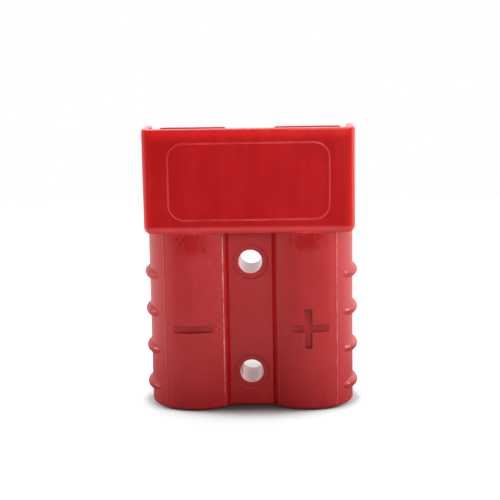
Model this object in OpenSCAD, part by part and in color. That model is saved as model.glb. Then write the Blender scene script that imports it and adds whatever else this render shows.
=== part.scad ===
// Genderless two-pole power connector: one moulded housing, two crimped blade contacts and two leaf springs.
// It stands on its wire end. +Z is the mating direction and -Y is the marked face, with plus on the +X side.
// A mate is the same part turned half a turn about X: each hood then covers the other part's tongues.

/* [Overall] */
// Height from the wire end to the rim of the hood
overall_h = 47.8; // [46:0.1:52]
// Distance between the axes of the two wire lobes
pole_pitch = 19.3; // [19.1:0.1:20.5]

/* [Wire lobes] */
// Radius of each wire lobe
lobe_r = 7.8; // [7.6:0.05:8]
// Thickness of the web between the lobes
web_t = 9.8; // [8.5:0.1:11.5]
// Radius on the edge round the wire end
end_edge_r = 0.5; // [0.2:0.1:0.8]

/* [Wire entries] */
// Radius of each wire entry, which clears the insulation
entry_r = 5.7; // [5.2:0.1:5.9]
// Depth of the wire entry, down to the step round the crimp barrel
entry_depth = 10.5; // [8:0.5:12]
// Radius on the mouth of the wire entry
entry_edge_r = 0.5; // [0.2:0.1:0.8]

/* [Hood] */
// Width of the hood
hood_w = 35; // [34.8:0.1:36]
// Depth of the hood and its collar from front to back
hood_d = 16.5; // [16.3:0.1:18]
// Length of the hood and its collar
hood_h = 17.4; // [17:0.1:18]
// Thickness of the hood's front and side walls
hood_wall = 1.1; // [0.9:0.05:1.3]
// Gap from the hood's side walls and the tongues to the mating plane
plane_gap = 0.1; // [0.05:0.05:0.2]
// Radius on the hood's upright corners and its lower edge
hood_edge_r = 1.2; // [0.5:0.1:1.4]
// Radius on the back ends of the hood's side walls
wall_end_r = 0.8; // [0.3:0.1:1]
// Radius on the rim of the hood and the front and back of the tongue tips
rim_edge_r = 0.3; // [0.1:0.05:0.4]
// Thickness of the collar that the mating hood lands on
collar_h = 1.6; // [1.4:0.1:2.5]

/* [Key rib] */
// Width of the rib inside the hood, which enters the gap between the mating tongues
key_w = 4; // [3:0.2:5]
// Height of the key rib from the hood's front wall
key_h = 3; // [2:0.2:4]
// How far the key rib ends below the hood's rim
key_short = 1.5; // [0.5:0.1:4]

/* [Tongues] */
// Gap between the two tongues
tongue_gap = 7.6; // [7:0.1:8]
// How far each tongue ends below the hood's rim
tongue_short = 0.85; // [0.5:0.05:2]
// Clearance between a tongue and the mating hood
mate_gap = 0.2; // [0.1:0.05:0.3]
// How far the wall behind each channel stands above the rest of its tongue
guide_h = 0.4; // [0.1:0.05:0.6]
// Thickness of the lip in front of the contact's nose
lip_t = 1; // [0.8:0.1:1.4]
// Height of the lip from the floor of its channel
lip_h = 2; // [1.5:0.1:2.4]
// Radius on the upright outer corners of the tongues
tongue_edge_r = 0.7; // [0.3:0.1:0.9]
// Radius on the two sides of each tongue's tip
tongue_tip_r = 1; // [0.4:0.05:1.1]

/* [Contact channel] */
// Depth of the channel floor behind the mating plane
floor_y = 5.4; // [5.2:0.1:5.6]
// Clearance on each side of the blade in its channel
channel_gap = 0.4; // [0.3:0.05:0.5]
// Depth of the pocket in the floor that the spring's tab drops into
pocket_depth = 1.1; // [0.8:0.1:1.3]

/* [Mounting holes] */
// Radius of the two holes through the web
hole_r = 2; // [1.6:0.05:2.1]
// Height of the lower hole above the wire end
hole_low_z = 6.05; // [5:0.05:7]
// Distance between the two holes
hole_pitch = 19.05; // [18:0.05:20]
// Radius of the shallow seat round each hole
seat_r = 3; // [2.6:0.1:3.2]
// Depth of that seat
seat_depth = 0.3; // [0.1:0.05:0.4]

/* [Grip ribs] */
// Number of ribs on each side
rib_count = 4; // [2:1:4]
// Height of the lowest rib above the wire end
rib_low_z = 3.4; // [2.6:0.1:3.5]
// Distance from one rib to the next
rib_pitch = 6.5; // [5:0.1:6.8]
// How far each rib stands out at the side
rib_proud = 0.8; // [0.4:0.05:1]
// Radius of each rib's rounded edge
rib_edge_r = 1.15; // [1:0.05:1.6]
// Angle from the front at which a rib fades into its lobe
rib_fade_angle = 49; // [40:1:60]

/* [Witness lines] */
// Angle from the front of the fine parting line on each lobe's outer side
parting_out_angle = 38; // [34:0.5:42]
// Angle from the front of the fine parting line on each lobe's inner side
parting_in_angle = 40.5; // [36:0.5:44]
// Width of a parting line
parting_w = 0.22; // [0.15:0.01:0.4]
// How far a parting line stands out
parting_proud = 0.06; // [0.04:0.01:0.1]

/* [Marks] */
// Width of the polarity marks
mark_w = 6.8; // [5:0.1:8]
// Stroke of the polarity marks
mark_stroke = 1.3; // [0.8:0.05:1.5]
// Height of the polarity marks above the wire end
mark_z = 14.1; // [12:0.1:17]
// Depth of the polarity marks at the ends of their bars
mark_depth = 0.2; // [0.1:0.05:0.5]
// Width of the plain line frame on the hood's front
frame_w = 26.8; // [22:0.1:29]
// Height of the line frame
frame_h = 12.9; // [9:0.1:13.5]
// Radius of the line frame's corners
frame_r = 2.7; // [1.5:0.1:4]
// Stroke of the line frame
frame_stroke = 0.26; // [0.2:0.02:0.5]
// How far the line frame stands out
frame_proud = 0.12; // [0.06:0.02:0.2]

/* [Contacts] */
// Outer radius of the crimp barrel
barrel_r = 4; // [3.8:0.05:4.2]
// Radius of the bore that takes the bare wire
crimp_r = 2.9; // [2.5:0.05:3.1]
// Thickness of the crimp barrel's closed end
crimp_floor = 0.9; // [0.8:0.1:2]
// Clearance round the barrel in the housing
barrel_gap = 0.2; // [0.1:0.05:0.3]
// How far the barrel's open end lies inside its bore
barrel_recess = 0.5; // [0.2:0.1:1]
// Length of the contact from the barrel's shoulder to its nose
blade_len = 21.45; // [21.1:0.05:22.2]
// Width of the blade
blade_w = 8; // [7:0.1:8]
// Thickness of the blade
blade_t = 2.2; // [1.8:0.1:2.3]
// How far the wiping face stands past the mating plane
blade_proud = 0.3; // [0.1:0.05:0.5]
// Length of the neck between barrel and blade
neck_len = 3.2; // [2.5:0.1:4.5]
// Radius at the front of the blade's nose
nose_r = 1.3; // [0.8:0.1:1.6]
// Room between the nose and the lip in front of it
nose_gap = 0.2; // [0.1:0.05:0.3]
// Radius on the corners of the blade's tip
tip_corner_r = 1.2; // [0.5:0.1:2]
// Thickness of the hook behind the nose
hook_t = 1.5; // [1.5:0.1:1.8]
// How far the hook reaches below the blade
hook_h = 2.3; // [1.8:0.1:2.5]

/* [Springs] */
// Width of the leaf spring
spring_w = 6.4; // [5:0.1:7]
// Thickness of the leaf spring
spring_t = 0.5; // [0.4:0.05:0.6]
// Radius of the bends in the spring
spring_bend_r = 8; // [6:0.5:9]
// Slope of the spring's ramp
spring_angle = 20; // [18:0.5:22]
// Distance from the barrel's stop to the spring's tab
foot_setback = 1; // [0.5:0.1:1.5]
// Length of the flat foot on the channel floor
foot_len = 1.8; // [1:0.1:2.5]
// Gap between the spring's tail and the hook that catches it
tail_gap = 0.25; // [0.15:0.05:0.6]
// Width of the tab at the spring's foot
tab_w = 3; // [2:0.2:4]
// Clearance of the spring under the blade and in its pocket
spring_gap = 0.05; // [0.03:0.01:0.1]

/* [Hidden] */
$fn = 96;
eps = 0.01;

lobe_x = pole_pitch / 2;
hood_z = overall_h - hood_h;                      // underside of the hood and collar
collar_z = hood_z + collar_h;                     // face that the mating hood lands on
hood_in_x = hood_w / 2 - hood_wall;
hood_in_y = hood_d / 2 - hood_wall;
mark_floor_y = sqrt(lobe_r * lobe_r - mark_w * mark_w / 4) - mark_depth;   // flat floor of the marks

tongue_x0 = tongue_gap / 2;
tongue_x1 = hood_in_x - mate_gap;
tongue_y1 = hood_in_y - mate_gap;
tongue_z1 = overall_h - tongue_short;
lip_z1 = tongue_z1 - guide_h;                     // top of the lip and of the tongue's side walls

channel_w = blade_w + 2 * channel_gap;
blade_y0 = -blade_proud;                          // wiping face
blade_y1 = blade_y0 + blade_t;                    // back of the blade
nose_z = lip_z1 - lip_t - nose_gap;
hook_z = nose_z - hook_t;                         // face that the spring's tail catches
stop_z = nose_z - blade_len;                      // step that the barrel's shoulder stops against
barrel_z = entry_depth + barrel_recess;           // open end of the crimp barrel
barrel_len = stop_z - barrel_z;
crimp_depth = barrel_len - crimp_floor;
passage_y0 = blade_y0 - channel_gap;

// A rib is a ring set off from its lobe's axis, so that it fades out at rib_fade_angle.
rib_out = lobe_r + rib_proud;
rib_off = (rib_out * rib_out - lobe_r * lobe_r) / (2 * (rib_out - lobe_r * sin(rib_fade_angle)));

// The spring's centre line: foot, bend, ramp, crown and tail.
foot_z = stop_z + foot_setback + spring_t;
foot_y = floor_y - spring_t / 2;
crown_y = blade_y1 + spring_gap + spring_t / 2;
bend_rise = spring_bend_r * (1 - cos(spring_angle));
bend_run = spring_bend_r * sin(spring_angle);
ramp_rise = foot_y - crown_y - 2 * bend_rise;
ramp_len = ramp_rise / sin(spring_angle);
bend_z = foot_z + foot_len;
crown_z = bend_z + 2 * bend_run + ramp_rise / tan(spring_angle);
tail_z = crown_z + bend_run;
tail_len = (hook_z - tail_gap - tail_z) / cos(spring_angle);

// Draws its children at both poles.
module each_pole() {
    for (side = [-1, 1]) translate([side * lobe_x, 0, 0]) children();
}

// Extrudes a side outline to width w, centred on X: its X is the height, its Y the depth.
module side_extrude(w) {
    translate([w / 2, 0, 0]) rotate([0, -90, 0]) linear_extrude(w) children();
}

// A slab with rounded upright corners and a rounded lower edge.
module collar_slab(w, d, h, r) {
    x = w / 2 - r;
    y = d / 2 - r;
    translate([-x, -y, 0]) cube([2 * x, 2 * y, h]);
    translate([-x - r, -y, r]) cube([w, 2 * y, h - r]);
    translate([-x, -y - r, r]) cube([2 * x, d, h - r]);
    for (sx = [-1, 1], sy = [-1, 1]) translate([sx * x, sy * y, r]) {
        sphere(r);
        cylinder(h = h - r, r = r);
    }
    for (sy = [-1, 1]) translate([-x, sy * y, r]) rotate([0, 90, 0]) cylinder(h = 2 * x, r = r);
    for (sx = [-1, 1]) translate([sx * x, -y, r]) rotate([-90, 0, 0]) cylinder(h = 2 * y, r = r);
}

// A rectangle on the X axis whose two upper corners are rounded.
module round_top_rect(w, h, r) {
    translate([-w / 2, 0]) square([w, h - r]);
    translate([-w / 2 + r, 0]) square([w - 2 * r, h]);
    for (side = [-1, 1]) translate([side * (w / 2 - r), h - r]) circle(r);
}

// The outside of the hood: full section at the collar, front half above it.
module hood_outside() {
    half_d = hood_d / 2 - plane_gap;
    intersection() {
        translate([0, 0, hood_z]) collar_slab(hood_w, hood_d, hood_h, hood_edge_r);
        translate([0, hood_d / 2, 0]) rotate([90, 0, 0]) linear_extrude(hood_d)
            round_top_rect(hood_w, overall_h, rim_edge_r);
        side_extrude(hood_w) {
            translate([0, -hood_d / 2]) square([collar_z, hood_d]);
            translate([0, rim_edge_r - hood_d / 2]) square([overall_h, half_d - rim_edge_r]);
            translate([0, -hood_d / 2]) square([overall_h - rim_edge_r, half_d]);
            translate([overall_h - rim_edge_r, rim_edge_r - hood_d / 2]) circle(rim_edge_r);
        }
    }
}

// What is cut to round the outer corners at the back ends of the hood's side walls.
module wall_end_cut() {
    for (m = [0, 1]) mirror([m, 0, 0])
        translate([hood_w / 2 - wall_end_r, -plane_gap - wall_end_r, collar_z]) difference() {
            cube([2 * wall_end_r, 2 * wall_end_r, hood_h]);
            translate([0, 0, -eps]) cylinder(h = hood_h + 2 * eps, r = wall_end_r);
        }
}

// Space inside the hood that the mating tongues enter, on both sides of the key rib.
module hood_cavity() {
    difference() {
        translate([-hood_in_x, -hood_in_y, collar_z]) cube([2 * hood_in_x, hood_in_y, hood_h]);
        translate([-key_w / 2, -hood_in_y - eps, collar_z - eps])
            cube([key_w, key_h + eps, hood_h - collar_h - key_short]);
    }
}

// Lobes and web, with a rounded edge round the wire end.
module lobe_body() {
    h = hood_z + hood_edge_r;
    each_pole() rotate_extrude() {
        translate([0, end_edge_r]) square([lobe_r, h - end_edge_r]);
        square([lobe_r - end_edge_r, h]);
        translate([lobe_r - end_edge_r, end_edge_r]) circle(end_edge_r);
    }
    translate([-lobe_x, 0, 0]) rotate([90, 0, 90]) linear_extrude(pole_pitch)
        translate([0, h]) mirror([0, 1]) round_top_rect(web_t, h, end_edge_r);
}

// Rounded ribs on the outer sides of the lobes.
module grip_ribs() {
    ring_r = rib_out - rib_off - rib_edge_r;
    for (side = [-1, 1], i = [0 : rib_count - 1])
        translate([side * (lobe_x + rib_off), 0, rib_low_z + i * rib_pitch]) rotate_extrude() {
            translate([0, -rib_edge_r]) square([ring_r, 2 * rib_edge_r]);
            intersection() {
                translate([ring_r, 0]) circle(rib_edge_r);
                translate([0, -rib_edge_r]) square([rib_out, 2 * rib_edge_r]);
            }
        }
}

// Fine upright lines where the mould's parts met.
module parting_lines() {
    h = hood_z + eps - 2 * end_edge_r;
    for (side = [-1, 1], face = [-1, 1], a = [parting_out_angle, -parting_in_angle])
        translate([side * lobe_x, 0, 2 * end_edge_r]) rotate([0, 0, face * (90 - side * a)])
            translate([lobe_r / 2, -parting_w / 2, 0]) cube([lobe_r / 2 + parting_proud, parting_w, h]);
}

// One tongue before its channel is cut: round at its corners and tip, and higher behind the channel.
module tongue() {
    w = tongue_x1 - tongue_x0;
    d = tongue_y1 - plane_gap;
    r = tongue_edge_r;
    translate([tongue_x0 + w / 2, 0, 0]) difference() {
        intersection() {
            translate([-w / 2, plane_gap, collar_z - eps]) {
                cube([w, d - r, overall_h]);
                translate([r, 0, 0]) cube([w - 2 * r, d, overall_h]);
                for (x = [r, w - r]) translate([x, d - r, 0]) cylinder(h = overall_h, r = r);
            }
            translate([0, tongue_y1 + plane_gap, 0]) rotate([90, 0, 0])
                linear_extrude(tongue_y1 + plane_gap) round_top_rect(w, tongue_z1, tongue_tip_r);
            side_extrude(w) translate([0, plane_gap + d / 2]) rotate(-90)
                round_top_rect(d, tongue_z1, rim_edge_r);
        }
        translate([-w, 0, lip_z1]) cube([2 * w, floor_y, 2 * guide_h]);
    }
}

// What is cut for each contact: wire entry, barrel bore, blade passage, channel and spring pocket.
module contact_space() {
    translate([0, 0, -eps]) cylinder(h = entry_depth + eps, r = entry_r);
    rotate_extrude() difference() {
        translate([0, -eps]) square([entry_r + entry_edge_r, entry_edge_r + eps]);
        translate([entry_r + entry_edge_r, entry_edge_r]) circle(entry_edge_r);
    }
    translate([0, 0, entry_depth - eps]) cylinder(h = stop_z - entry_depth + eps, r = barrel_r + barrel_gap);
    translate([-channel_w / 2, passage_y0, stop_z - eps])
        cube([channel_w, floor_y - passage_y0, lip_z1 - lip_t - stop_z + eps]);
    translate([-channel_w / 2, passage_y0, stop_z])
        cube([channel_w, floor_y - lip_h - passage_y0, overall_h]);
    translate([-tab_w / 2 - spring_gap, floor_y - eps, foot_z - spring_t - spring_gap])
        cube([tab_w + 2 * spring_gap, pocket_depth + eps, spring_t + 2 * spring_gap]);
}

// Mounting holes through the web, each in its shallow seat.
module mounting_holes() {
    for (i = [0, 1]) translate([0, 0, hole_low_z + i * hole_pitch]) rotate([90, 0, 0]) {
        cylinder(h = web_t * 2, r = hole_r, center = true);
        for (s = [-1, 1]) translate([0, 0, s * web_t / 2])
            cylinder(h = 2 * seat_depth, r = seat_r, center = true);
    }
}

// Flat outline of a minus, or of a plus when upright is true.
module polarity_outline(upright) {
    square([mark_w, mark_stroke], center = true);
    if (upright) square([mark_stroke, mark_w], center = true);
}

// A polarity mark with a flat floor, which makes it deepest at the middle of the lobe's front.
module polarity_mark(upright) {
    translate([0, -mark_floor_y, mark_z]) rotate([90, 0, 0]) linear_extrude(lobe_r)
        polarity_outline(upright);
}

// Plain raised line frame on the hood's front.
module line_frame() {
    z = hood_z + hood_h / 2;
    translate([0, -hood_d / 2 + eps, z]) rotate([90, 0, 0]) linear_extrude(frame_proud + eps) difference() {
        rounded_rect(frame_w, frame_h, frame_r);
        rounded_rect(frame_w - 2 * frame_stroke, frame_h - 2 * frame_stroke, frame_r - frame_stroke);
    }
}

// A rectangle with round corners, centred.
module rounded_rect(w, h, r) {
    square([w, h - 2 * r], center = true);
    square([w - 2 * r, h], center = true);
    for (sx = [-1, 1], sy = [-1, 1]) translate([sx * (w / 2 - r), sy * (h / 2 - r)]) circle(r);
}

module housing() {
    color("firebrick") {
        difference() {
            union() {
                lobe_body();
                grip_ribs();
                parting_lines();
                difference() {
                    hood_outside();
                    hood_cavity();
                    wall_end_cut();
                }
                tongue();
                mirror([1, 0, 0]) tongue();
            }
            each_pole() contact_space();
            mounting_holes();
            translate([-lobe_x, 0, 0]) polarity_mark(false);
            translate([lobe_x, 0, 0]) polarity_mark(true);
        }
        line_frame();
    }
}

// Side outline of the blade: flat, with a rounded nose and a hook behind it.
module blade_outline() {
    z0 = stop_z + neck_len - eps;
    hook_y = blade_y1 + hook_h;
    translate([z0, blade_y0]) square([nose_z - nose_r - z0, blade_t]);
    translate([nose_z - nose_r, blade_y0 + nose_r]) intersection() {
        circle(nose_r);
        translate([0, -nose_r]) square([nose_r, nose_r]);
    }
    translate([hook_z, blade_y0 + nose_r]) square([hook_t, hook_y - hook_t / 2 - blade_y0 - nose_r]);
    translate([hook_z, blade_y0 + nose_r - eps]) square([nose_z - nose_r - hook_z + eps, eps * 2]);
    translate([hook_z + hook_t / 2, hook_y - hook_t / 2]) circle(hook_t / 2);
}

// Side outline of the neck, which tapers from the barrel to the back of the blade.
module neck_outline() {
    polygon([[stop_z - eps, blade_y0], [stop_z + neck_len, blade_y0],
             [stop_z + neck_len, blade_y1], [stop_z, barrel_r], [stop_z - eps, barrel_r]]);
}

// Contact on its own axis: crimp barrel, neck and blade in one piece.
module contact() {
    difference() {
        translate([0, 0, barrel_z]) cylinder(h = barrel_len, r = barrel_r);
        translate([0, 0, barrel_z - eps]) cylinder(h = crimp_depth + eps, r = crimp_r);
    }
    intersection() {
        side_extrude(blade_w) neck_outline();
        translate([0, 0, barrel_z + crimp_depth]) cylinder(h = barrel_len, r = barrel_r);
    }
    intersection() {
        side_extrude(blade_w) blade_outline();
        translate([0, blade_y1 + hook_h, 0]) rotate([90, 0, 0]) linear_extrude(blade_t + hook_h)
            round_top_rect(blade_w, nose_z, tip_corner_r);
    }
}

// Side outline of a bend of the spring, from angle a0 to a1 about its centre.
module bend_outline(a0, a1) {
    far = 2 * spring_bend_r;
    intersection() {
        difference() {
            circle(spring_bend_r + spring_t / 2);
            circle(spring_bend_r - spring_t / 2);
        }
        polygon([[0, 0], far * [cos(a0), sin(a0)], far * [cos(a1), sin(a1)]]);
    }
}

// Side outline of a straight stretch of the spring that starts at p and runs at angle a.
module strip_outline(p, a, length) {
    translate(p) rotate(a) translate([-eps, -spring_t / 2]) square([length + 2 * eps, spring_t]);
}

// Leaf spring on its contact's axis: tab, foot, ramp, crown and tail.
module leaf_spring() {
    side_extrude(spring_w) {
        strip_outline([foot_z - spring_t + eps, foot_y], 0, foot_len + spring_t - eps);
        translate([bend_z, foot_y - spring_bend_r]) bend_outline(90 - spring_angle, 90);
        strip_outline([bend_z + bend_run, foot_y - bend_rise], -spring_angle, ramp_len);
        translate([crown_z, crown_y + spring_bend_r]) bend_outline(-90 - spring_angle, -90 + spring_angle);
        strip_outline([tail_z, crown_y + bend_rise], spring_angle, tail_len);
    }
    translate([-tab_w / 2, floor_y - spring_t, foot_z - spring_t])
        cube([tab_w, spring_t + pocket_depth - spring_gap, spring_t]);
}

module contact_minus() { color("silver") translate([-lobe_x, 0, 0]) contact(); }
module contact_plus() { color("silver") translate([lobe_x, 0, 0]) contact(); }
module spring_minus() { color("gray") translate([-lobe_x, 0, 0]) leaf_spring(); }
module spring_plus() { color("gray") translate([lobe_x, 0, 0]) leaf_spring(); }

housing();
spring_minus();
spring_plus();
contact_minus();
contact_plus();
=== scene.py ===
import bpy, bmesh, math
from mathutils import Matrix, Vector


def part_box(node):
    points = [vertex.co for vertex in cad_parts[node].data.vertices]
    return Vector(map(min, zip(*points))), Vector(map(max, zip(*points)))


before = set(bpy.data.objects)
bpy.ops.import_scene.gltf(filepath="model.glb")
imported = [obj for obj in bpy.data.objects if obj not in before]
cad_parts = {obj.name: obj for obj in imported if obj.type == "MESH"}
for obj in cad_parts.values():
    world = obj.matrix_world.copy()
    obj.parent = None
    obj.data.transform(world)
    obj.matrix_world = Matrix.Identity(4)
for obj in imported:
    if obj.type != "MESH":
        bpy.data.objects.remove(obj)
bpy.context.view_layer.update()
mm = 0.001
white = (1.0, 1.0, 1.0, 1.0)
black = (0.0, 0.0, 0.0, 1.0)
print("frame loaded:", ", ".join(sorted(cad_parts)))

# small helpers for node trees


def addNode(tree, kind, **settings):
    made = tree.nodes.new(kind)
    for name, value in settings.items():
        setattr(made, name, value)
    return made


def feed(tree, socket, value):
    if isinstance(value, bpy.types.NodeSocket):
        tree.links.new(value, socket)
    else:
        socket.default_value = value


def maths(tree, operation, first, second=0.0, third=0.0, clamp=False):
    made = addNode(tree, "ShaderNodeMath", operation=operation, use_clamp=clamp)
    for socket, value in zip(made.inputs, (first, second, third)):
        feed(tree, socket, value)
    return made.outputs[0]


def product(tree, first, *others):
    for other in others:
        first = maths(tree, "MULTIPLY", first, other)
    return first


def largest(tree, first, *others):
    for other in others:
        first = maths(tree, "MAXIMUM", first, other)
    return first


def inverse(tree, value):
    return maths(tree, "SUBTRACT", 1.0, value)


def centred(tree, value):
    return maths(tree, "SUBTRACT", value, 0.5)


def distance(tree, across, along):
    squares = maths(tree, "MULTIPLY_ADD", across, across, product(tree, along, along))
    return maths(tree, "SQRT", squares)


def between(tree, share, low, high):
    return maths(tree, "MULTIPLY_ADD", maths(tree, "SUBTRACT", high, low), share, low)


def fade(tree, value, low, high, outLow=0.0, outHigh=1.0):
    made = addNode(tree, "ShaderNodeMapRange", interpolation_type="SMOOTHSTEP")
    for socket, given in zip(made.inputs, (value, low, high, outLow, outHigh)):
        feed(tree, socket, given)
    return made.outputs[0]


def curve(tree, value, points):
    # smooth steps through (value, level) points, in rising order
    low, high = points[0][0], points[-1][0]
    made = addNode(tree, "ShaderNodeValToRGB")
    made.color_ramp.interpolation = "EASE"
    stops = made.color_ramp.elements
    while len(stops) < len(points):
        stops.new(0.5)
    for stop, (at, level) in zip(stops, points):
        stop.position = (at - low) / (high - low)
        stop.color = (level, level, level, 1.0)
    scaled = maths(tree, "DIVIDE", maths(tree, "SUBTRACT", value, low), high - low, clamp=True)
    feed(tree, made.inputs[0], scaled)
    level = addNode(tree, "ShaderNodeSeparateColor")
    feed(tree, level.inputs[0], made.outputs[0])
    return level.outputs[0]


def splitAxes(tree, direction):
    axes = addNode(tree, "ShaderNodeSeparateXYZ")
    feed(tree, axes.inputs[0], direction)
    return axes.outputs


def turnFromFront(tree, x, y):
    # degrees round Z from the marked side, 0 in front to 180 behind, the same on both sides
    angle = maths(tree, "ARCTAN2", maths(tree, "ABSOLUTE", x), product(tree, y, -1.0))
    return product(tree, angle, 180.0 / math.pi)


def blendColours(tree, share, first, second, how="MIX"):
    made = addNode(tree, "ShaderNodeMix", data_type="RGBA", blend_type=how)
    for socket, value in zip((made.inputs[0], made.inputs[6], made.inputs[7]), (share, first, second)):
        feed(tree, socket, value)
    return made.outputs[2]


def noise(tree, place, scale, detail=3.0, rough=0.5, distortion=0.0):
    made = addNode(tree, "ShaderNodeTexNoise")
    values = {"Vector": place, "Scale": scale, "Detail": detail, "Roughness": rough, "Distortion": distortion}
    for label, value in values.items():
        feed(tree, made.inputs[label], value)
    return made.outputs[0]


def stretched(tree, place, size, turn=(0.0, 0.0, 0.0)):
    made = addNode(tree, "ShaderNodeMapping", vector_type="POINT")
    feed(tree, made.inputs["Vector"], place)
    feed(tree, made.inputs["Rotation"], turn)
    feed(tree, made.inputs["Scale"], size)
    return made.outputs[0]


def newGroup(name, inputs, outputs):
    tree = bpy.data.node_groups.new(name, "ShaderNodeTree")
    for label, kind, value in inputs:
        socket = tree.interface.new_socket(label, in_out="INPUT", socket_type=kind)
        if value is not None:
            socket.default_value = value
    for label, kind in outputs:
        tree.interface.new_socket(label, in_out="OUTPUT", socket_type=kind)
    return tree, tree.nodes.new("NodeGroupInput").outputs, tree.nodes.new("NodeGroupOutput").inputs


def useGroup(tree, group, **values):
    made = addNode(tree, "ShaderNodeGroup", node_tree=group)
    for label, value in values.items():
        feed(tree, made.inputs[label], value)
    return made.outputs


# effects that more than one finish uses
vector, number = "NodeSocketVector", "NodeSocketFloat"


def makeMottle():
    inputs = [("Place", vector, None), ("Scale", number, 200.0), ("Contrast", number, 1.0)]
    tree, given, out = newGroup("softMottle", inputs, [("Value", number)])
    finer, fineShare = 4.7, 0.35    # fine clouds against the broad ones
    broad = noise(tree, given["Place"], given["Scale"], detail=2.0, distortion=0.3)
    fine = noise(tree, given["Place"], product(tree, given["Scale"], finer), rough=0.6)
    both = maths(tree, "MULTIPLY_ADD", fine, fineShare, product(tree, broad, 1.0 - fineShare))
    spread = product(tree, centred(tree, both), given["Contrast"])
    feed(tree, out["Value"], maths(tree, "ADD", spread, 0.5, clamp=True))
    return tree


def makeScratches():
    inputs = [("Place", vector, None), ("Turn", vector, None), ("Stretch", vector, None),
              ("Amount", number, 0.5)]
    tree, given, out = newGroup("fineScratches", inputs, [("Mask", number)])
    laid = stretched(tree, given["Place"], given["Stretch"], given["Turn"])
    cells = addNode(tree, "ShaderNodeTexVoronoi", feature="F1", voronoi_dimensions="3D")
    feed(tree, cells.inputs["Vector"], laid)
    feed(tree, cells.inputs["Scale"], 1.0)
    feed(tree, cells.inputs["Randomness"], 1.0)
    core = fade(tree, cells.outputs["Distance"], 0.10, 0.22, 1.0, 0.0)    # a mark in the middle of a cell
    draws = addNode(tree, "ShaderNodeSeparateColor")
    feed(tree, draws.inputs[0], cells.outputs["Color"])
    chosen = maths(tree, "LESS_THAN", draws.outputs[0], given["Amount"])
    strength = fade(tree, draws.outputs[1], 0.0, 1.0, 0.35, 1.0)
    feed(tree, out["Mask"], product(tree, core, chosen, strength))
    return tree


def makeEdges():
    inputs = [("Radius", number, 0.1 * mm), ("Reach", number, 1.0)]
    tree, given, out = newGroup("softEdges", inputs, [("Normal", vector), ("Edge", number)])
    rounded = addNode(tree, "ShaderNodeBevel", samples=6)
    feed(tree, rounded.inputs["Radius"], given["Radius"])
    facing = addNode(tree, "ShaderNodeNewGeometry")
    dot = addNode(tree, "ShaderNodeVectorMath", operation="DOT_PRODUCT")
    feed(tree, dot.inputs[0], rounded.outputs[0])
    feed(tree, dot.inputs[1], facing.outputs["Normal"])
    turned = inverse(tree, dot.outputs["Value"])
    feed(tree, out["Normal"], rounded.outputs[0])
    feed(tree, out["Edge"], maths(tree, "MULTIPLY", turned, given["Reach"], clamp=True))
    return tree


def makeGrain():
    inputs = [("Place", vector, None), ("Stretch", vector, None), ("Depth", number, 1.0)]
    tree, given, out = newGroup("drawnGrain", inputs, [("Value", number)])
    laid = stretched(tree, given["Place"], given["Stretch"])
    lines = noise(tree, laid, 1.0, detail=4.0, rough=0.65)
    feed(tree, out["Value"], maths(tree, "MULTIPLY_ADD", centred(tree, lines), given["Depth"], 0.5))
    return tree


softMottle, fineScratches, softEdges, drawnGrain = makeMottle(), makeScratches(), makeEdges(), makeGrain()
print("shared effects built:", len(bpy.data.node_groups))


def newMaterial(name, constants):
    made = bpy.data.materials.new(name)
    made.use_nodes = True
    tree = made.node_tree
    tree.nodes.clear()
    shader = addNode(tree, "ShaderNodeBsdfPrincipled")
    for label, value in constants.items():
        shader.inputs[label].default_value = value
    feed(tree, addNode(tree, "ShaderNodeOutputMaterial").inputs["Surface"], shader.outputs[0])
    place = addNode(tree, "ShaderNodeTexCoord").outputs["Object"]
    return made, tree, shader, place


def bumped(tree, height, normal, look):
    made = addNode(tree, "ShaderNodeBump")
    values = {"Height": height, "Strength": look["bump"], "Distance": look["bumpDepth"], "Normal": normal}
    for label, value in values.items():
        feed(tree, made.inputs[label], value)
    return made.outputs[0]


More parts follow.
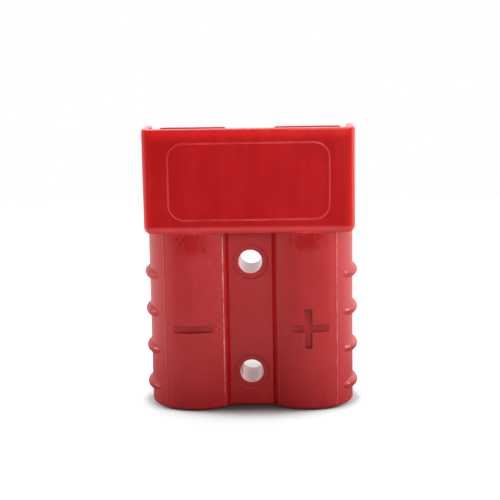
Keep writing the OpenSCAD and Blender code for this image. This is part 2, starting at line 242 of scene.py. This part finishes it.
# the housing: one shot of red plastic, polished on the hood and hazy below it. In its masks, margins of
# a few hundredths of a millimetre keep a mask off the next face.
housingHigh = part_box("housing")[1]
housingLook = {
    "deepRed": (0.475, 0.0035, 0.005, 1.0),    # polished hood
    "hazyRed": (0.47, 0.015, 0.017, 1.0),      # satin body
    "underHoodShadeRed": (0.42, 0.005, 0.006, 1.0),     # painted shade on the glossier places under the hood
    "hemSheenRed": (0.62, 0.045, 0.046, 1.0),       # painted sheen on the hood's rounded lower edge
    "boreReflectionRed": (0.62, 0.10, 0.10, 1.0),        # painted pale reflection inside the cross holes
    "stripShadeRed": (0.41, 0.0035, 0.005, 1.0),    # painted shade on the glossier strips beside the web
    "paintedShadeRed": (0.10, 0.004, 0.005, 1.0),     # painted shade on the ledges of the marks, tongue tips and seat rings
    "rimGlowRed": (0.68, 0.012, 0.010, 1.0),       # painted glow on the thin walls, for light shining through them
    "lineRed": (0.80, 0.060, 0.045, 1.0),      # crest of the line frame
    "edgeHighlightRed": (0.72, 0.10, 0.10, 1.0),        # painted highlight on thin edges
    "flashAndGlintRed": (0.85, 0.36, 0.34, 1.0),       # lighter flash, its colour partly a painted highlight, and painted glints on the rib ends
    "fleckRed": (0.80, 0.30, 0.30, 1.0),

    # the part's own places; angles go round a lobe in degrees from the front, minus towards the web.
    # ribZ is the crest of the lowest rib, and what lies past markFloorY and under markTop is a mark
    "rimZ": housingHigh[2], "frontY": -housingHigh[1], "hoodZ": 30.4 * mm, "tipZ": 46.55 * mm,
    "lobeX": 9.65 * mm, "lobeR": 7.8 * mm, "webHalf": 4.9 * mm, "partingIn": -40.5,
    "holeZs": (6.05 * mm, 25.1 * mm), "holeR": 2.0 * mm, "seatR": 3.0 * mm,
    "ribZ": 3.62 * mm, "ribPitch": 6.5 * mm, "ribTop": 24.0 * mm, "ribEnd": 57.0,
    "markFloorY": -6.0 * mm, "markTop": 20.0 * mm,

    "patches": [(-9.7, 28.9, 2.1, 2.1), (9.4, 29.2, 2.7, 1.7)],    # x, z and half sizes in mm
    "patchRagged": 2.6, "patchGrain": (900.0, 900.0, 420.0),
    # angle, strength on the minus and on the plus lobe, and width in mm
    "flashes": [(38.0, 0.12, 0.36, 0.15), (-40.2, 0.62, 0.05, 0.18)],
    "flashAtFoot": 0.35, "flashGrain": (60.0, 60.0, 700.0),
    "flecks": 0.9, "strayFlecks": 0.2, "fleckTurn": (0.0, math.radians(35), 0.0),
    "fleckSize": (2200.0, 2400.0, 5200.0), "fleckShare": 0.9,
    # of the strengths on these two lines, the rib-end glints, side glow, edge highlight and the shade on
    # ledges, tips and rings are painted light
    "glints": 0.75, "glintsBehind": 0.35, "sideGlow": 0.7, "sideGlowBehind": 0.25, "lineCrest": (0.2, 0.6),
    "paintedShade": 0.8, "tipShade": 0.5, "ringShade": 0.38, "edgeHighlight": 0.6,

    # the patch and strip values take haze off as painted shade, which also leaves those places glossier
    "hazeLeast": 0.7, "hazeUneven": 0.5, "patchShadeAndPolish": 0.85, "stripShadeAndPolish": 0.9,
    "tone": (0.925, 1.055),                    # darkest and lightest of the uneven tone
    "mottleScale": 160.0, "mottleContrast": 1.4, "bandGrain": (520.0, 520.0, 45.0),
    "hoodRough": 0.22, "bodyRough": 0.38, "boreRough": 0.10, "mottleRough": 0.10, "bandRough": 0.12,
    "edgeRadius": 0.12 * mm, "edgeReach": 2.2,
    "bump": 0.35, "bumpDepth": 0.012 * mm, "waves": 3.0, "hoodSkin": 0.08, "hazySkin": 0.5, "flashBump": 0.8,
    "plastic": {"IOR": 1.5, "Coat Roughness": 0.2, "Subsurface Weight": 0.35,
                "Subsurface Radius": (1.0, 0.16, 0.12), "Subsurface Scale": 0.9 * mm},
}


def housingPlaces(tree, place, look):
    # coordinates and masks that several effects share
    x, y, z = splitAxes(tree, place)
    fromLobe = maths(tree, "SUBTRACT", maths(tree, "ABSOLUTE", x), look["lobeX"])
    depth = maths(tree, "ABSOLUTE", y)
    onBody = fade(tree, z, look["hoodZ"] - 0.05 * mm, look["hoodZ"] + 0.05 * mm, 1.0, 0.0)
    return {
        "place": place, "x": x, "y": y, "z": z, "depth": depth,
        "radius": distance(tree, fromLobe, y),
        "angle": maths(tree, "ARCTAN2", fromLobe, depth),
        "onBody": onBody, "onHood": inverse(tree, onBody),
        "onFront": maths(tree, "LESS_THAN", y, 0.0),
        "onPlus": maths(tree, "GREATER_THAN", x, 0.0),
    }


def crossHoles(tree, at, look):
    # the inside of the two cross holes, and the rings round their screw seats
    inBore, seatRing = 0.0, 0.0
    for holeZ in look["holeZs"]:
        away = distance(tree, at["x"], maths(tree, "SUBTRACT", at["z"], holeZ))
        inBore = largest(tree, maths(tree, "LESS_THAN", away, look["holeR"] + 0.03 * mm), inBore)
        off = maths(tree, "ABSOLUTE", maths(tree, "SUBTRACT", away, look["seatR"]))
        seatRing = largest(tree, fade(tree, off, 0.04 * mm, 0.16 * mm, 1.0, 0.0), seatRing)
    return inBore, seatRing


def shadedStrips(tree, at, look):
    # painted shade on the steep strips between the inner parting lines and the web
    low, high = math.radians(look["partingIn"] - 6), math.radians(look["partingIn"] - 1)
    strip = fade(tree, at["angle"], low, high, 1.0, 0.0)
    return product(tree, strip, maths(tree, "GREATER_THAN", at["depth"], look["webHalf"] + 0.05 * mm))


def shadedPatches(tree, at, look):
    # ragged, deeper red places under the hood: painted shade
    laid = stretched(tree, at["place"], look["patchGrain"])
    ragged = noise(tree, laid, 1.0, detail=4.0, rough=0.7, distortion=0.4)
    patch = 0.0
    for centreX, centreZ, halfX, halfZ in look["patches"]:
        across = maths(tree, "DIVIDE", maths(tree, "SUBTRACT", at["x"], centreX * mm), halfX * mm)
        along = maths(tree, "DIVIDE", maths(tree, "SUBTRACT", at["z"], centreZ * mm), halfZ * mm)
        away = distance(tree, across, along)
        uneven = maths(tree, "MULTIPLY_ADD", centred(tree, ragged), look["patchRagged"], away)
        patch = largest(tree, patch, fade(tree, uneven, 0.45, 1.35, 1.0, 0.0))
    return product(tree, patch, at["onFront"])


def partingFlash(tree, at, look):
    # flash along the parting lines, heavy and uneven on the minus lobe's inner line; its lighter colour is
    # partly a painted highlight of the crease
    waver = noise(tree, stretched(tree, at["place"], look["flashGrain"]), 1.0, detail=4.0, rough=0.7)
    waver = fade(tree, waver, 0.28, 0.72)
    outside = fade(tree, at["radius"], look["lobeR"] - 0.1 * mm, look["lobeR"] - 0.02 * mm)
    flash = 0.0
    for degrees, minusShare, plusShare, width in look["flashes"]:
        off = maths(tree, "ABSOLUTE", maths(tree, "SUBTRACT", at["angle"], math.radians(degrees)))
        across = product(tree, off, look["lobeR"])
        line = maths(tree, "LESS_THAN", across, product(tree, waver, width * mm))
        share = maths(tree, "MULTIPLY_ADD", at["onPlus"], plusShare - minusShare, minusShare)
        flash = largest(tree, product(tree, line, share, outside), flash)
    lowerFade = fade(tree, at["z"], 1 * mm, 13 * mm, look["flashAtFoot"], 1.0)
    return product(tree, flash, at["onBody"], lowerFade)


def lightFlecks(tree, at, look):
    # short light flecks, nearly all beside the heavy line, and a few elsewhere
    flecks = useGroup(tree, fineScratches, Place=at["place"], Turn=look["fleckTurn"],
                      Stretch=look["fleckSize"], Amount=look["fleckShare"])["Mask"]
    nearLine = fade(tree, at["angle"], math.radians(-4), math.radians(-32))
    outOfStrip = maths(tree, "GREATER_THAN", at["angle"], math.radians(look["partingIn"]))
    higher = fade(tree, at["z"], 6 * mm, 16 * mm)
    beside = product(tree, nearLine, outOfStrip, inverse(tree, at["onPlus"]), higher)
    clustered = fade(tree, noise(tree, at["place"], 260.0, detail=2.0), 0.30, 0.52)
    sparse = fade(tree, noise(tree, at["place"], 130.0, detail=2.0), 0.60, 0.70)
    stray = product(tree, sparse, look["strayFlecks"])
    amount = maths(tree, "MULTIPLY_ADD", product(tree, beside, clustered), look["flecks"], stray)
    return product(tree, flecks, amount, at["onBody"])


def ribGlints(tree, at, look):
    # painted glints on the front ends of the ribs
    phase = addNode(tree, "ShaderNodeMath", operation="PINGPONG")
    feed(tree, phase.inputs[0], maths(tree, "SUBTRACT", at["z"], look["ribZ"]))
    feed(tree, phase.inputs[1], look["ribPitch"] / 2)
    onCrest = fade(tree, phase.outputs[0], 0.08 * mm, 0.22 * mm, 1.0, 0.0)
    off = maths(tree, "ABSOLUTE", maths(tree, "SUBTRACT", at["angle"], math.radians(look["ribEnd"])))
    atEnd = fade(tree, off, math.radians(2.5), math.radians(5.5), 1.0, 0.0)
    onRibs = maths(tree, "LESS_THAN", at["z"], look["ribTop"])
    broken = fade(tree, noise(tree, at["place"], 1800.0, detail=2.0), 0.40, 0.62)
    side = maths(tree, "MULTIPLY_ADD", at["onFront"], 1.0 - look["glintsBehind"], look["glintsBehind"])
    return product(tree, onCrest, atEnd, onRibs, broken, side)


def thinWallGlow(tree, at, look):
    # painted glow on the hood's rim and upright edges, for light shining through them
    rim = fade(tree, at["z"], look["rimZ"] - 2.2 * mm, look["rimZ"] - 0.3 * mm)
    sides = fade(tree, maths(tree, "ABSOLUTE", at["x"]), 15.4 * mm, 17.3 * mm)
    behind = maths(tree, "SUBTRACT", at["y"], look["frontY"])
    weaker = fade(tree, behind, 1.0 * mm, 3.0 * mm, 1.0, look["sideGlowBehind"])
    sides = product(tree, sides, weaker, look["sideGlow"])
    return product(tree, largest(tree, rim, sides), at["onHood"], at["onFront"])


def hoodHemSheen(tree, at, look):
    # painted sheen on the hood's rounded lower edge
    near = fade(tree, at["z"], look["hoodZ"] + 1.5 * mm, look["hoodZ"] + 0.8 * mm)
    return product(tree, near, at["onHood"])


def frameCrest(tree, at, look):
    # the top of the raised line frame
    crest = maths(tree, "LESS_THAN", at["y"], look["frontY"] - 0.03 * mm)
    uneven = fade(tree, noise(tree, at["place"], 420.0, rough=0.6), 0.3, 0.65, *look["lineCrest"])
    return product(tree, crest, uneven)


def paintedShadePlaces(tree, at, seatRing, look):
    # painted shade on the lower ledges of the marks, fronts of the tongue tips and the seat rings
    facing = splitAxes(tree, addNode(tree, "ShaderNodeNewGeometry").outputs["True Normal"])
    ledge = product(tree, maths(tree, "GREATER_THAN", facing[2], 0.8),
                    maths(tree, "LESS_THAN", at["radius"], look["lobeR"] - 0.04 * mm),
                    maths(tree, "LESS_THAN", at["y"], look["markFloorY"]),
                    maths(tree, "LESS_THAN", at["z"], look["markTop"]))
    tipFront = product(tree, maths(tree, "LESS_THAN", facing[1], -0.8),
                       maths(tree, "GREATER_THAN", at["y"], 0.0),
                       maths(tree, "GREATER_THAN", at["z"], look["tipZ"]), look["tipShade"])
    return largest(tree, ledge, tipFront, product(tree, seatRing, look["ringShade"]))


def makeHousingMaterial(look):
    made, tree, shader, place = newMaterial("glossyRedPlastic", look["plastic"])
    at = housingPlaces(tree, place, look)
    onBody = at["onBody"]
    inBore, seatRing = crossHoles(tree, at, look)
    strip, patch = shadedStrips(tree, at, look), shadedPatches(tree, at, look)
    flash, flecks, glints = partingFlash(tree, at, look), lightFlecks(tree, at, look), ribGlints(tree, at, look)
    paintedShade = paintedShadePlaces(tree, at, seatRing, look)
    mottle = useGroup(tree, softMottle, Place=place, Scale=look["mottleScale"],
                      Contrast=look["mottleContrast"])["Value"]
    bands = noise(tree, stretched(tree, place, look["bandGrain"]), 1.0, rough=0.6)    # faint and upright
    edges = useGroup(tree, softEdges, Radius=look["edgeRadius"], Reach=look["edgeReach"])

    cloudy = maths(tree, "MULTIPLY_ADD", mottle, look["hazeUneven"], look["hazeLeast"])
    haze = maths(tree, "MULTIPLY", onBody, cloudy, clamp=True)
    # painted shade: less haze on the patches and strips, which also lowers their roughness
    for mask, shadeAndPolish in ((patch, look["patchShadeAndPolish"]), (strip, look["stripShadeAndPolish"])):
        haze = product(tree, haze, inverse(tree, product(tree, mask, shadeAndPolish)))

    # from the bottom layer to the top one
    layers = [
        (haze, "hazyRed"),
        # painted highlight on thin edges
        (product(tree, edges["Edge"], look["edgeHighlight"]), "edgeHighlightRed"),
        # painted shade beside the web
        (product(tree, strip, onBody), "stripShadeRed"),
        # painted shade under the hood
        (product(tree, patch, onBody), "underHoodShadeRed"),
        # painted glow on the thin walls
        (thinWallGlow(tree, at, look), "rimGlowRed"),
        # painted sheen on the hood's lower edge
        (hoodHemSheen(tree, at, look), "hemSheenRed"),
        (frameCrest(tree, at, look), "lineRed"),
        # painted shade on ledges, tongue tips and seat rings
        (product(tree, paintedShade, look["paintedShade"]), "paintedShadeRed"),
        # painted reflection inside the cross holes
        (inBore, "boreReflectionRed"),
        # flash with a partly painted highlight, and painted glints on the rib ends
        (largest(tree, flash, product(tree, glints, look["glints"])), "flashAndGlintRed"),
        (flecks, "fleckRed"),
    ]
    colour = look["deepRed"]
    for mask, red in layers:
        colour = blendColours(tree, mask, colour, look[red])
    uneven = maths(tree, "MULTIPLY_ADD", bands, 0.5, product(tree, mottle, 0.5))
    grey = addNode(tree, "ShaderNodeCombineColor")
    tone = fade(tree, uneven, 0.3, 0.7, *look["tone"])
    for socket in grey.inputs:
        feed(tree, socket, tone)
    feed(tree, shader.inputs["Base Color"], blendColours(tree, 1.0, colour, grey.outputs[0], "MULTIPLY"))

    rough = maths(tree, "MULTIPLY_ADD", haze, look["bodyRough"] - look["hoodRough"], look["hoodRough"])
    rough = maths(tree, "MULTIPLY_ADD", centred(tree, mottle), look["mottleRough"], rough)
    rough = maths(tree, "MULTIPLY_ADD", centred(tree, bands), look["bandRough"], rough)
    feed(tree, shader.inputs["Roughness"], between(tree, inBore, rough, look["boreRough"]))

    skin = noise(tree, place, 2600.0, detail=4.0, rough=0.55)
    waves = noise(tree, place, 240.0, detail=2.0, rough=0.4)
    skinDepth = maths(tree, "MULTIPLY_ADD", haze, look["hazySkin"], look["hoodSkin"])
    height = maths(tree, "MULTIPLY_ADD", waves, look["waves"], product(tree, skin, skinDepth))
    proud = product(tree, maths(tree, "ADD", flash, flecks), look["flashBump"])
    height = maths(tree, "ADD", height, proud)
    feed(tree, shader.inputs["Normal"], bumped(tree, height, edges["Normal"], look))
    return made


contactLook = {
    "silver": (0.90, 0.88, 0.84, 1.0), "tarnish": (0.62, 0.54, 0.42, 1.0),
    "wornEdge": (0.95, 0.94, 0.92, 1.0), "stain": 0.45, "edgeWear": 0.5,
    "edgeRadius": 0.1 * mm, "edgeReach": 2.5,
    "cloud": {"Scale": 240.0, "Contrast": 2.0}, "grain": {"Stretch": (2600.0, 2600.0, 240.0), "Depth": 0.9},
    "dents": {"Turn": (0.3, 0.2, 0.4), "Stretch": (1400.0, 1900.0, 900.0), "Amount": 0.25},
    "rough": 0.17, "cloudRough": 0.14, "grainRough": 0.06,
    "bump": 0.22, "bumpDepth": 0.01 * mm, "grainBump": 0.5, "dentBump": 0.7,
}


def makeContactMaterial(look):
    made, tree, shader, place = newMaterial("silverPlate", {"Metallic": 1.0, "IOR": 1.5})
    edges = useGroup(tree, softEdges, Radius=look["edgeRadius"], Reach=look["edgeReach"])
    cloudy = useGroup(tree, softMottle, Place=place, **look["cloud"])["Value"]
    grain = useGroup(tree, drawnGrain, Place=place, **look["grain"])["Value"]
    dents = useGroup(tree, fineScratches, Place=place, **look["dents"])["Mask"]
    stain = product(tree, fade(tree, cloudy, 0.55, 0.85), look["stain"])
    colour = blendColours(tree, stain, look["silver"], look["tarnish"])
    colour = blendColours(tree, product(tree, edges["Edge"], look["edgeWear"]), colour, look["wornEdge"])
    feed(tree, shader.inputs["Base Color"], colour)
    rough = maths(tree, "MULTIPLY_ADD", cloudy, look["cloudRough"], look["rough"])
    rough = maths(tree, "MULTIPLY_ADD", grain, look["grainRough"], rough)
    feed(tree, shader.inputs["Roughness"], rough)
    lines, pits = product(tree, grain, look["grainBump"]), product(tree, dents, look["dentBump"])
    height = maths(tree, "SUBTRACT", lines, pits)
    feed(tree, shader.inputs["Normal"], bumped(tree, height, edges["Normal"], look))
    return made


springLook = {
    "steel": (0.56, 0.56, 0.57, 1.0), "bright": (0.78, 0.78, 0.79, 1.0),
    "edgeRadius": 0.06 * mm, "edgeReach": 2.5,
    "cloud": {"Scale": 320.0, "Contrast": 1.5}, "grain": {"Stretch": (5200.0, 900.0, 160.0), "Depth": 1.6},
    "scuffs": {"Turn": (0.0, 0.15, 0.0), "Stretch": (2400.0, 900.0, 300.0), "Amount": 0.35},
    "rough": 0.22, "grainRough": 0.16,
    "bump": 0.3, "bumpDepth": 0.008 * mm, "scuffBump": 0.5,
}


def makeSpringMaterial(look):
    made, tree, shader, place = newMaterial("rolledSpringSteel", {"Metallic": 1.0, "IOR": 1.5})
    edges = useGroup(tree, softEdges, Radius=look["edgeRadius"], Reach=look["edgeReach"])
    cloudy = useGroup(tree, softMottle, Place=place, **look["cloud"])["Value"]
    grain = useGroup(tree, drawnGrain, Place=place, **look["grain"])["Value"]
    scuffs = useGroup(tree, fineScratches, Place=place, **look["scuffs"])["Mask"]
    colour = blendColours(tree, product(tree, grain, cloudy), look["steel"], look["bright"])
    colour = blendColours(tree, edges["Edge"], colour, look["bright"])
    feed(tree, shader.inputs["Base Color"], colour)
    rough = maths(tree, "MULTIPLY_ADD", grain, look["grainRough"], look["rough"])
    feed(tree, shader.inputs["Roughness"], rough)
    height = maths(tree, "SUBTRACT", grain, product(tree, scuffs, look["scuffBump"]))
    feed(tree, shader.inputs["Normal"], bumped(tree, height, edges["Normal"], look))
    return made


def dress(nodeName, material):
    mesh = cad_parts[nodeName].data
    mesh.materials.clear()
    mesh.materials.append(material)


dress("housing", makeHousingMaterial(housingLook))
silverPlate, springSteel = makeContactMaterial(contactLook), makeSpringMaterial(springLook)
for side in ("minus", "plus"):
    dress("contact_" + side, silverPlate)
    dress("spring_" + side, springSteel)
print("materials on", len(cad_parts), "nodes")

floorLook = {
    "radius": 0.26, "colour": (0.32, 0.34, 0.34, 1.0), "rough": 0.55,
    "lift": 0.86, "contact": 20.0 * mm,    # added white, and how near the part darkens the floor
    "shade": [(0.3, 0.02), (0.47, 0.03), (0.53, 0.08), (0.58, 0.24), (0.62, 0.56),    # darkening by openness
              (0.66, 0.75), (0.72, 0.84), (0.85, 0.86), (1.0, 1.0)],
    # soft shadow behind the part: its middle, half sizes and strength
    "castAt": 14.0 * mm, "castX": 21.0 * mm, "castY": 27.0 * mm, "cast": 0.52,
    # least light on the floor beside the lobes
    "besideFrom": 13.0 * mm, "besideTo": 17.5 * mm, "beside": 0.42,
    # what the part sees of the floor, by distance: dark far in front and bright to the sides for gloss
    "front": [(0.0, 0.02), (0.018, 0.10), (0.045, 0.50), (0.075, 0.35), (0.120, 0.06), (0.260, 0.04)],
    "bounce": [(0.0, 0.02), (0.012, 0.05), (0.024, 0.60), (0.040, 1.30), (0.100, 1.30), (0.260, 0.90)],
    "aside": [(0.0, 0.03), (0.025, 0.30), (0.080, 1.30), (0.260, 1.60)],
    "split": [(0.0, 0.0), (45.0, 0.0), (85.0, 1.0), (150.0, 0.8), (180.0, 0.6)],
}


def floorClearness(tree, x, y, look):
    # 1 on the open floor, darker close to the part and behind it
    near = addNode(tree, "ShaderNodeAmbientOcclusion", samples=16)
    feed(tree, near.inputs["Distance"], look["contact"])
    clear = curve(tree, near.outputs["AO"], look["shade"])
    across = maths(tree, "DIVIDE", x, look["castX"])
    along = maths(tree, "DIVIDE", maths(tree, "SUBTRACT", y, look["castAt"]), look["castY"])
    cast = fade(tree, distance(tree, across, along), 0.1, 1.0, 1.0 - look["cast"], 1.0)
    outwards = maths(tree, "ABSOLUTE", x)
    beside = fade(tree, outwards, look["besideFrom"], look["besideTo"], 0.0, look["beside"])
    return largest(tree, product(tree, clear, cast), beside)


def makeFloorMaterial(look):
    paint = bpy.data.materials.new("paleFloor")
    paint.use_nodes = True
    tree = paint.node_tree
    tree.nodes.clear()
    shader = addNode(tree, "ShaderNodeBsdfPrincipled")
    shader.inputs["Roughness"].default_value = look["rough"]
    shader.inputs["Emission Color"].default_value = white
    x, y = splitAxes(tree, addNode(tree, "ShaderNodeTexCoord").outputs["Object"])[:2]
    clear = floorClearness(tree, x, y, look)
    feed(tree, shader.inputs["Base Color"], blendColours(tree, clear, black, look["colour"]))
    feed(tree, shader.inputs["Emission Strength"], product(tree, clear, look["lift"]))

    # a glowing card in the floor's place for what the part itself sees
    paths = addNode(tree, "ShaderNodeLightPath").outputs
    reach = distance(tree, x, y)
    ahead, aside = curve(tree, reach, look["front"]), curve(tree, reach, look["aside"])
    glossy = between(tree, curve(tree, turnFromFront(tree, x, y), look["split"]), ahead, aside)
    bounced = curve(tree, reach, look["bounce"])
    card = addNode(tree, "ShaderNodeEmission")
    card.inputs["Color"].default_value = white
    feed(tree, card.inputs["Strength"], between(tree, paths["Is Glossy Ray"], bounced, glossy))
    either = addNode(tree, "ShaderNodeMixShader")
    for socket, value in zip(either.inputs, (paths["Is Camera Ray"], card.outputs[0], shader.outputs[0])):
        feed(tree, socket, value)
    feed(tree, addNode(tree, "ShaderNodeOutputMaterial").inputs["Surface"], either.outputs[0])
    return paint


def makeFloor(look):
    mesh = bpy.data.meshes.new("floor")
    shape = bmesh.new()
    bmesh.ops.create_circle(shape, cap_ends=True, segments=96, radius=look["radius"])
    shape.to_mesh(mesh)
    shape.free()
    mesh.materials.append(makeFloorMaterial(look))
    floor = bpy.data.objects.new("floor", mesh)
    bpy.context.scene.collection.objects.link(floor)


makeFloor(floorLook)
print("floor laid")

skyLook = {
    "seen": 1.0, "above": 0.45, "right": 0.45,    # for the camera, overhead, and extra on the plus side
    # level by degrees from the front
    "round": [(0.0, 0.06), (45.0, 0.10), (85.0, 1.5), (140.0, 1.4), (180.0, 1.1)],
}


def makeSky(look):
    world = bpy.data.worlds.new("studio")
    bpy.context.scene.world = world
    world.use_nodes = True
    tree = world.node_tree
    tree.nodes.clear()
    x, y, z = splitAxes(tree, addNode(tree, "ShaderNodeTexCoord").outputs["Generated"])
    level = curve(tree, turnFromFront(tree, x, y), look["round"])
    level = product(tree, level, maths(tree, "MULTIPLY_ADD", x, look["right"], 1.0))
    level = between(tree, fade(tree, z, 0.55, 0.9), level, look["above"])
    seen = addNode(tree, "ShaderNodeLightPath").outputs["Is Camera Ray"]
    background = addNode(tree, "ShaderNodeBackground")
    background.inputs["Color"].default_value = white
    feed(tree, background.inputs["Strength"], between(tree, seen, level, look["seen"]))
    feed(tree, addNode(tree, "ShaderNodeOutputWorld").inputs["Surface"], background.outputs[0])


makeSky(skyLook)

lampValues = {    # millimetres and watts
    "key": {"place": (42, -130, 92), "aim": (0, -8, 34), "width": 70, "power": 0.10, "gloss": True},
    "top": {"place": (30, 60, 320), "aim": (0, 0, 20), "width": 240, "power": 0.6, "gloss": True},
    "minusFill": {"place": (-190, 30, 60), "aim": (-15, 0, 25), "width": 90, "power": 0.12, "gloss": False},
    "plusFill": {"place": (190, 30, 60), "aim": (15, 0, 25), "width": 90, "power": 0.06, "gloss": False},
}


def lookFrom(place, aim):
    return (Vector(place) - Vector(aim)).to_track_quat("Z", "Y").to_matrix().to_4x4()


def makeLamp(name, values):
    lamp = bpy.data.lights.new(name, "AREA")
    lamp.shape = "SQUARE"
    lamp.size = values["width"] * mm
    lamp.energy = values["power"]
    holder = bpy.data.objects.new(name, lamp)
    stand = Matrix.Translation(Vector(values["place"]) * mm)
    holder.matrix_world = stand @ lookFrom(values["place"], values["aim"])
    holder.visible_camera = False
    holder.visible_glossy = values["gloss"]
    bpy.context.scene.collection.objects.link(holder)


for name, values in lampValues.items():
    makeLamp(name, values)
print("sky and", len(lampValues), "lamps lit")

cameraValues = {    # millimetres, degrees, and a lens for a sensor 36 mm wide
    "place": (5.793, -209.95, 64.79), "heading": -1.621, "dip": 10.40, "tilt": 0.911, "lens": 89.41,
}


def makeCamera(values):
    camera = bpy.data.objects.new("camera", bpy.data.cameras.new("camera"))
    bpy.context.scene.collection.objects.link(camera)
    camera.data.sensor_width = 36.0
    camera.data.lens = values["lens"]
    camera.data.clip_start = 0.01
    heading = Matrix.Rotation(math.radians(-values["heading"]), 4, "Z")
    dip = Matrix.Rotation(math.radians(90 - values["dip"]), 4, "X")
    tilt = Matrix.Rotation(math.radians(-values["tilt"]), 4, "Z")
    camera.matrix_world = Matrix.Translation(Vector(values["place"]) * mm) @ heading @ dip @ tilt
    bpy.context.scene.camera = camera


makeCamera(cameraValues)
bpy.context.scene.view_settings.view_transform = "Standard"
print("camera set")
